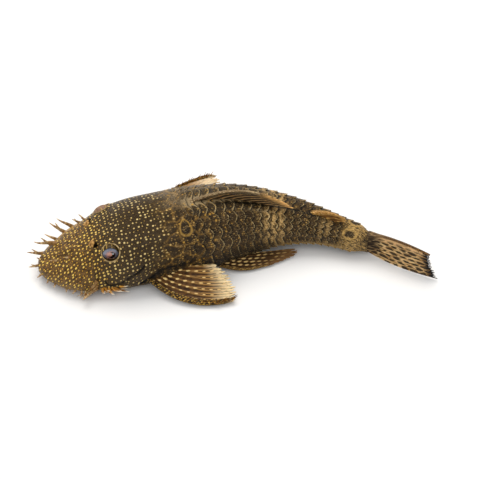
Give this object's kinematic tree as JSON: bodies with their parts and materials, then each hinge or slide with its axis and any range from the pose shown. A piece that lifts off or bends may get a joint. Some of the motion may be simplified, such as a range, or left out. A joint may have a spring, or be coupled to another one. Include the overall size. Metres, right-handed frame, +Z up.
{
  "type": "bristlenose pleco",
  "caption": "Adult male bristlenose pleco lying on its belly, tail bent to its left, with snout tentacles, cheek spines, armour plates and folded fins.",
  "frame": {"origin": "centre of the underside of the bounding box, on the ground that the fish lies on", "axes": "-X towards the snout, -Y towards the fish's left side, +Z up"},
  "size_m": [0.1052, 0.0458, 0.0182],
  "materials": {
    "head_skin": "wet dark olive-brown skin with cream dots",
    "plates": "dark brown bony plates with ochre lines",
    "fins": "brown fin skin over rays with cream dots",
    "mouth_skin": "pale moist skin with small papillae",
    "eye": "clear and wet over a salmon-grey iris"
  },
  "bodies": {
    "root": {"head": "head_skin", "sucker_mouth": "mouth_skin", "eye_left": "eye", "eye_right": "eye", "trunk": "plates", "caudal_peduncle": "plates", "dorsal_fin": "fins", "adipose_fin": "fins", "anal_fin": "fins", "caudal_fin": "fins", "pectoral_fin_left": "fins", "pectoral_fin_right": "fins", "pelvic_fin_left": "fins", "pelvic_fin_right": "fins"}
  },
  "joints": []
}
